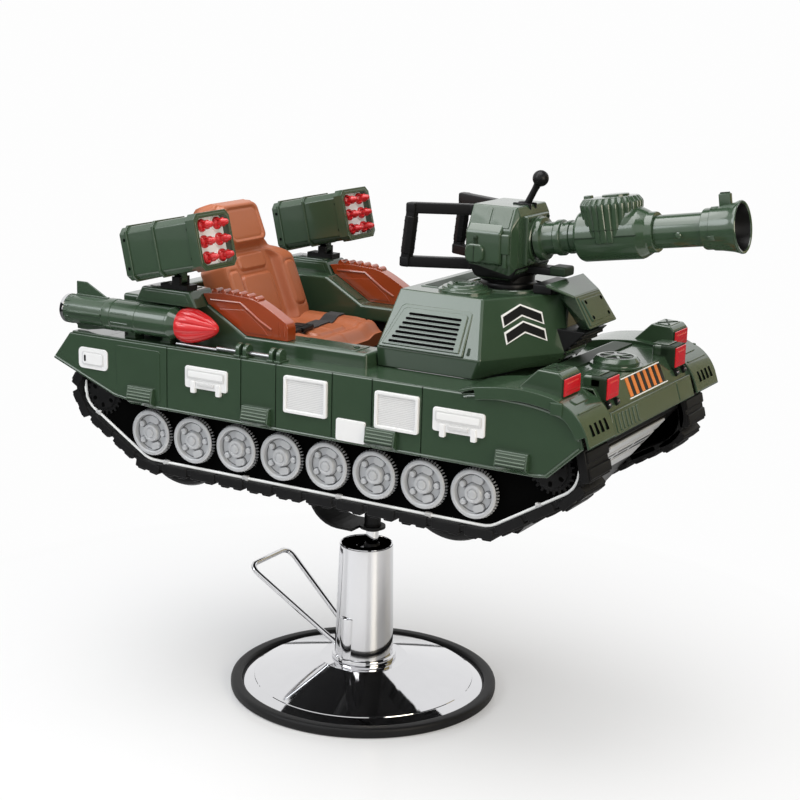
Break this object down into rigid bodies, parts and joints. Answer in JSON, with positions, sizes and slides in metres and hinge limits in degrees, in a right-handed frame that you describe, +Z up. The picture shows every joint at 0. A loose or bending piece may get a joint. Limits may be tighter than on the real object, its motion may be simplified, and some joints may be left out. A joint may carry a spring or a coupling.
{
  "type": "kids tank barber chair",
  "caption": "Children's barber chair: moulded toy tank with bucket seat, turning gun and tilting missile pods on a chromed hydraulic base with foot pedal.",
  "frame": {"origin": "centre of the base plate's underside, on the floor", "axes": "+X to the tank's front along the gun, +Y to the tank's left, +Z up"},
  "size_m": [1.4308, 0.6946, 1.1922],
  "materials": {
    "chrome": "mirror chrome",
    "steel": "turned",
    "black_steel": "satin black",
    "rubber": "matt",
    "track_black": "matt black",
    "black_plastic": "satin black",
    "army_green": "glossy moulded",
    "wheel_grey": "satin grey",
    "light_tube": "milky",
    "red_lens": "clear red",
    "missile_red": "glossy red",
    "seat_tan": "leather look",
    "belt_black": "woven",
    "armrest_brown": "glossy brown"
  },
  "bodies": {
    "base": {"base_plate": "black_steel", "trim_ring": "rubber", "base_cover": "chrome", "column_shroud": "chrome", "pump_body": "steel", "rod_seal": "rubber"},
    "pedal": {"foot_pedal": "chrome"},
    "plunger": {"pump_plunger": "steel"},
    "ram": {"piston_rod": "chrome"},
    "tank": {"swivel_socket": "black_plastic", "hull_saddle": "black_steel", "lower_hull": "black_plastic", "seat_riser": "black_plastic", "upper_hull": "army_green", "front_bumper": "army_green", "turret": "army_green", "seat": "seat_tan", "lap_belt": "belt_black", "side_skirt_right": "army_green", "side_skirt_left": "army_green", "track_right": "track_black", "track_left": "track_black", "light_strip_right": "light_tube", "light_strip_left": "light_tube", "fender_lens_right": "red_lens", "fender_lens_left": "red_lens", "inner_lens_right": "red_lens", "inner_lens_left": "red_lens", "armrest_right": "armrest_brown", "armrest_left": "armrest_brown", "pod_bracket_right": "black_plastic", "pod_bracket_left": "black_plastic", "side_rocket_right": "army_green", "side_rocket_left": "army_green"},
    "gun": {"gun_head": "army_green", "barrel_housing": "army_green", "gun_barrel": "army_green", "handle_right": "black_plastic", "handle_left": "black_plastic"},
    "lever": {"control_lever": "black_plastic"},
    "pod_right": {"missile_pod_right": "army_green", "missile_rack_right": "missile_red"},
    "pod_left": {"missile_pod_left": "army_green", "missile_rack_left": "missile_red"},
    "wheel_right_1": {"road_wheel_right_1": "wheel_grey"},
    "wheel_right_2": {"road_wheel_right_2": "wheel_grey"},
    "wheel_right_3": {"road_wheel_right_3": "wheel_grey"},
    "wheel_right_4": {"road_wheel_right_4": "wheel_grey"},
    "wheel_right_5": {"road_wheel_right_5": "wheel_grey"},
    "wheel_right_6": {"road_wheel_right_6": "wheel_grey"},
    "wheel_right_7": {"road_wheel_right_7": "wheel_grey"},
    "wheel_right_8": {"road_wheel_right_8": "wheel_grey"},
    "wheel_left_1": {"road_wheel_left_1": "wheel_grey"},
    "wheel_left_2": {"road_wheel_left_2": "wheel_grey"},
    "wheel_left_3": {"road_wheel_left_3": "wheel_grey"},
    "wheel_left_4": {"road_wheel_left_4": "wheel_grey"},
    "wheel_left_5": {"road_wheel_left_5": "wheel_grey"},
    "wheel_left_6": {"road_wheel_left_6": "wheel_grey"},
    "wheel_left_7": {"road_wheel_left_7": "wheel_grey"},
    "wheel_left_8": {"road_wheel_left_8": "wheel_grey"}
  },
  "joints": [
    {"name": "lift", "type": "slide", "parent": "base", "child": "ram", "axis": [0, 0, 1], "range_m": [0, 0.13]},
    {"name": "swivel", "type": "hinge", "parent": "ram", "child": "tank", "pos_m": [0.01, 0.008, 0.44], "axis": [0, 0, 1], "continuous": true},
    {"name": "pedal_hinge", "type": "hinge", "parent": "base", "child": "pedal", "pos_m": [-0.04, 0, 0.085], "axis": [0, -1, 0], "range_deg": [0, 30], "stiffness_Nm_per_rad": 6, "springref_deg": -20.05},
    {"name": "plunger_slide", "type": "slide", "parent": "base", "child": "plunger", "axis": [0, 0, -1], "range_m": [0, 0.0072]},
    {"name": "gun_yaw", "type": "hinge", "parent": "tank", "child": "gun", "pos_m": [0.325, 0, 0.952], "axis": [0, 0, 1], "range_deg": [-30, 30]},
    {"name": "lever_hinge", "type": "hinge", "parent": "gun", "child": "lever", "pos_m": [0.352, 0, 1.108], "axis": [0, 1, 0], "range_deg": [-25, 10]},
    {"name": "pod_tilt_right", "type": "hinge", "parent": "tank", "child": "pod_right", "pos_m": [-0.3, -0.28, 0.936], "axis": [0, -1, 0], "range_deg": [-13, 4]},
    {"name": "wheel_spin_right_1", "type": "hinge", "parent": "tank", "child": "wheel_right_1", "pos_m": [-0.364, -0.285, 0.597], "axis": [0, 1, 0], "continuous": true},
    {"name": "wheel_spin_right_2", "type": "hinge", "parent": "tank", "child": "wheel_right_2", "pos_m": [-0.2523, -0.285, 0.597], "axis": [0, 1, 0], "continuous": true},
    {"name": "wheel_spin_right_3", "type": "hinge", "parent": "tank", "child": "wheel_right_3", "pos_m": [-0.1406, -0.285, 0.597], "axis": [0, 1, 0], "continuous": true},
    {"name": "wheel_spin_right_4", "type": "hinge", "parent": "tank", "child": "wheel_right_4", "pos_m": [-0.0289, -0.285, 0.597], "axis": [0, 1, 0], "continuous": true},
    {"name": "wheel_spin_right_5", "type": "hinge", "parent": "tank", "child": "wheel_right_5", "pos_m": [0.0828, -0.285, 0.597], "axis": [0, 1, 0], "continuous": true},
    {"name": "wheel_spin_right_6", "type": "hinge", "parent": "tank", "child": "wheel_right_6", "pos_m": [0.1945, -0.285, 0.597], "axis": [0, 1, 0], "continuous": true},
    {"name": "wheel_spin_right_7", "type": "hinge", "parent": "tank", "child": "wheel_right_7", "pos_m": [0.3062, -0.285, 0.597], "axis": [0, 1, 0], "continuous": true},
    {"name": "wheel_spin_right_8", "type": "hinge", "parent": "tank", "child": "wheel_right_8", "pos_m": [0.4179, -0.285, 0.597], "axis": [0, 1, 0], "continuous": true},
    {"name": "pod_tilt_left", "type": "hinge", "parent": "tank", "child": "pod_left", "pos_m": [-0.3, 0.28, 0.936], "axis": [0, -1, 0], "range_deg": [-13, 4]},
    {"name": "wheel_spin_left_1", "type": "hinge", "parent": "tank", "child": "wheel_left_1", "pos_m": [-0.364, 0.285, 0.597], "axis": [0, 1, 0], "continuous": true},
    {"name": "wheel_spin_left_2", "type": "hinge", "parent": "tank", "child": "wheel_left_2", "pos_m": [-0.2523, 0.285, 0.597], "axis": [0, 1, 0], "continuous": true},
    {"name": "wheel_spin_left_3", "type": "hinge", "parent": "tank", "child": "wheel_left_3", "pos_m": [-0.1406, 0.285, 0.597], "axis": [0, 1, 0], "continuous": true},
    {"name": "wheel_spin_left_4", "type": "hinge", "parent": "tank", "child": "wheel_left_4", "pos_m": [-0.0289, 0.285, 0.597], "axis": [0, 1, 0], "continuous": true},
    {"name": "wheel_spin_left_5", "type": "hinge", "parent": "tank", "child": "wheel_left_5", "pos_m": [0.0828, 0.285, 0.597], "axis": [0, 1, 0], "continuous": true},
    {"name": "wheel_spin_left_6", "type": "hinge", "parent": "tank", "child": "wheel_left_6", "pos_m": [0.1945, 0.285, 0.597], "axis": [0, 1, 0], "continuous": true},
    {"name": "wheel_spin_left_7", "type": "hinge", "parent": "tank", "child": "wheel_left_7", "pos_m": [0.3062, 0.285, 0.597], "axis": [0, 1, 0], "continuous": true},
    {"name": "wheel_spin_left_8", "type": "hinge", "parent": "tank", "child": "wheel_left_8", "pos_m": [0.4179, 0.285, 0.597], "axis": [0, 1, 0], "continuous": true}
  ],
  "couplings": [
    {"joint": "plunger_slide", "follows": "pedal_hinge", "m_per_rad": 0.0135}
  ]
}
